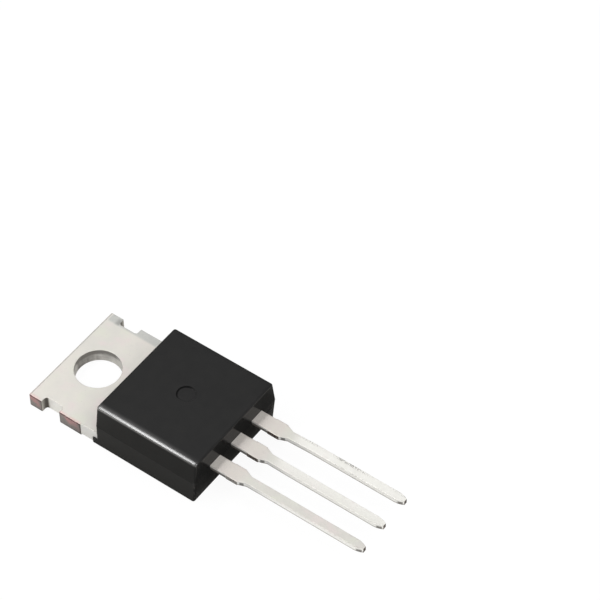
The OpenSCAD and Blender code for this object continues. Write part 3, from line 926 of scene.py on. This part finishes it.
def wirePath():
    # out of the foot, up over the crest and down to the post
    rise, fall = radians(wire["riseAngle"]), radians(wire["fallAngle"])
    lift = wire["diameter"] / 2
    bends = wire["heel"] + wire["crest"]
    freeX = wireEnd - dieX - wire["footLength"] - bends * (sin(rise) + sin(fall))
    freeZ = leadTop - dieTop - bends * (cos(fall) - cos(rise))
    up = (freeX * sin(fall) + freeZ * cos(fall)) / sin(rise + fall)
    down = (freeX * sin(rise) - freeZ * cos(rise)) / sin(rise + fall)
    half = wire["footLength"] / 2
    points = [(dieX - half, dieTop + lift), (dieX, dieTop + lift)]

    def run(length, angle):
        x, z = points[-1]
        points.append((x + length * cos(angle), z + length * sin(angle)))

    def turn(first, last, radius, steps=8):
        x, z = points[-1]
        side = 1 if last > first else -1
        for i in range(1, steps + 1):
            a = first + (last - first) * i / steps
            alongX, alongZ = sin(a) - sin(first), cos(a) - cos(first)
            points.append((x + side * radius * alongX, z - side * radius * alongZ))

    run(half, 0)
    turn(0, rise, wire["heel"])
    run(up, rise)
    turn(rise, -fall, wire["crest"])
    run(down, -fall)
    turn(-fall, 0, wire["heel"])
    run(half, 0)
    run(half, 0)
    return points


def wireFinish():
    f = Finish("aluminiumWire", Metallic=1.0)
    drawn = f.noise(3, 3, where=f.stretched(1, 14, 14))
    colour = f.blend(drawn.rise(0.35, 0.65), wire["bright"], wire["dull"])
    return f.finish(colour, 0.22 + drawn * 0.2, drawn, depth=0.004)


tinTab = tinFinish("tinnedTab", tab, tabMarks)
tinLead = tinFinish("tinnedLead", lead, leadMarks)
aluminium = wireFinish()
print("tin and wire finishes made")

piece("mouldedBody", bodyMesh(), "mould_epoxy", [mattEpoxy(), polishedEpoxy()], "mould_body")
leadTree = buildLeadTree()
frameMesh = joined("cathodeFrame", [tabMesh(), leadMesh(leadTree, 0, tinLead)])
piece("cathodeFrame", frameMesh, "tin_plating", [tinTab, tinLead], "cathode_frame")
for number, row in (("1", -1), ("2", 1)):
    mesh = joined("anodeLead" + number, [postMesh(row), leadMesh(leadTree, row, tinLead)])
    piece("anodeLead" + number, mesh, "tin_plating", [tinLead, tinLead], "anode_lead_" + number)

wires = grownMesh(buildWireTree(), polyline("wirePath", wirePath()), wireSizes, aluminium)
wires.set_sharp_from_angle(angle=radians(40))
piece("bondWires", wires, "aluminium_wire", [], *["bond_wire_%d" % i for i in (1, 2, 3, 4)])
finishNodes("schottky_die", dieFinish())
finishNodes("die_solder", solderFinish())
print("dies and solder finished")


light = {
    "world": 0.46, "floor": 0.86, "whiteFloor": 1.03, "whiteShare": 0.9, "middle": (8, 0, 1),
    # what the part mirrors of the floor, as painted shade: in general, and a painted shadow beside the roots
    # of the leads
    "mirrorFloor": 0.42, "mirroredLeadShadow": 0.12, "mirrorWarmth": (0.02, 0.08),
    "besideTab": (2.0, 0.8), "leadsFrom": (12.6, 13.6), "leadsTo": (15.5, 17.0), "leadsFar": (7.6, 6.4),
    # an arc of strips that the long near edge mirrors from end to end
    "arc": {
        "lean": -0.394, "angles": (-12, 4, 20, 36, 52),
        "distance": 0.40, "size": (0.055, 0.115), "brightness": 6.3,
    },
    # name, direction, distance, size along X and round it, brightness
    "lamps": [
        ("topSoftbox", (-0.30, 0.45, 0.84), 0.40, (0.24, 0.24), 0.2),
        ("leadFill", (0.50, -0.15, 0.85), 0.40, (0.24, 0.24), 3.0),
    ],
}


def floorFinish():
    # pale for the light that it throws back, white to the eye, and darker where the part mirrors it, as
    # painted shade that is lifted beside the tab, with a painted shadow under the leads
    material = bpy.data.materials.new("paleFloor")
    material.use_nodes = True
    material.node_tree.nodes.clear()
    m = Maker(material.node_tree)
    rays = m.node("ShaderNodeLightPath")
    mirrored = rays.out("Is Glossy Ray").most(rays.out("Is Transmission Ray"))
    spot = m.node("ShaderNodeSeparateXYZ", {}, {0: m.node("ShaderNodeTexCoord", output="Object")})
    x, y = spot.out("X") / mm, spot.out("Y") / mm
    pale, dim, dark = light["floor"], light["mirrorFloor"], light["mirroredLeadShadow"]
    # a painted shadow that only reflections show, darkest under the roots of the leads and less so towards
    # the far lead
    under = x.rise(*light["leadsFrom"]) * (0.5 + y.rise(*light["leadsFar"]) * 0.5)
    mirror = dim - under * (dim - dark) + x.rise(*light["leadsTo"]) * (pale - dark)
    mirror = mirror + x.rise(*light["besideTab"]) * (pale - dim)
    shade = pale + mirrored * (mirror - pale)
    lessGreen, lessBlue = light["mirrorWarmth"]
    warm = {0: shade, 1: shade * (1 - mirrored * lessGreen), 2: shade * (1 - mirrored * lessBlue)}
    matt = m.node("ShaderNodeBsdfDiffuse", {}, {"Color": m.node("ShaderNodeCombineColor", {}, warm)})
    glow = m.node("ShaderNodeEmission", {}, {"Color": (1, 1, 1, 1), "Strength": light["whiteFloor"]})
    seen = rays.out("Is Camera Ray") * light["whiteShare"]
    mixed = m.node("ShaderNodeMixShader", {}, {0: seen, 1: matt, 2: glow})
    m.node("ShaderNodeOutputMaterial", {}, {0: mixed})
    return material


def makeFloor():
    size, below = 1.2, 0.02 * mm                    # just under the mounting face
    mesh = bpy.data.meshes.new("floor")
    corners = [(-size, -size, -below), (size, -size, -below), (size, size, -below), (-size, size, -below)]
    mesh.from_pydata(corners, [], [(0, 1, 2, 3)])
    mesh.materials.append(floorFinish())
    floor = bpy.data.objects.new("floor", mesh)
    bpy.context.collection.objects.link(floor)


def makeWorld():
    # white to the eye, and a plain grey to everything else
    world = bpy.data.worlds.new("studio")
    world.use_nodes = True
    bpy.context.scene.world = world
    world.node_tree.nodes.clear()
    m = Maker(world.node_tree)
    seen = m.node("ShaderNodeLightPath").out("Is Camera Ray")
    strength = seen + (1 - seen) * light["world"]
    back = m.node("ShaderNodeBackground", {}, {"Color": (1, 1, 1, 1), "Strength": strength})
    m.node("ShaderNodeOutputWorld", {}, {0: back})


def makeLamps():
    arc = light["arc"]
    across = sqrt(1 - arc["lean"] ** 2)
    lamps = []
    for i, angle in enumerate(arc["angles"]):
        direction = (arc["lean"], -across * sin(radians(angle)), across * cos(radians(angle)))
        lamps.append(("strip%d" % i, direction, arc["distance"], arc["size"], arc["brightness"]))
    for name, direction, distance, size, brightness in lamps + light["lamps"]:
        lamp = bpy.data.lights.new(name, "AREA")
        lamp.shape = "RECTANGLE"
        lamp.size, lamp.size_y = size
        lamp.energy = brightness * pi * size[0] * size[1]
        away = Vector(direction).normalized()
        around = Vector((1, 0, 0)).cross(away).normalized()
        facing = Matrix((around.cross(away), around, away)).transposed()
        spot = bpy.data.objects.new(name, lamp)
        place = Vector(light["middle"]) * mm + away * distance
        spot.matrix_world = Matrix.Translation(place) @ facing.to_4x4()
        bpy.context.collection.objects.link(spot)


makeFloor()
makeWorld()
makeLamps()
print("floor and light set")
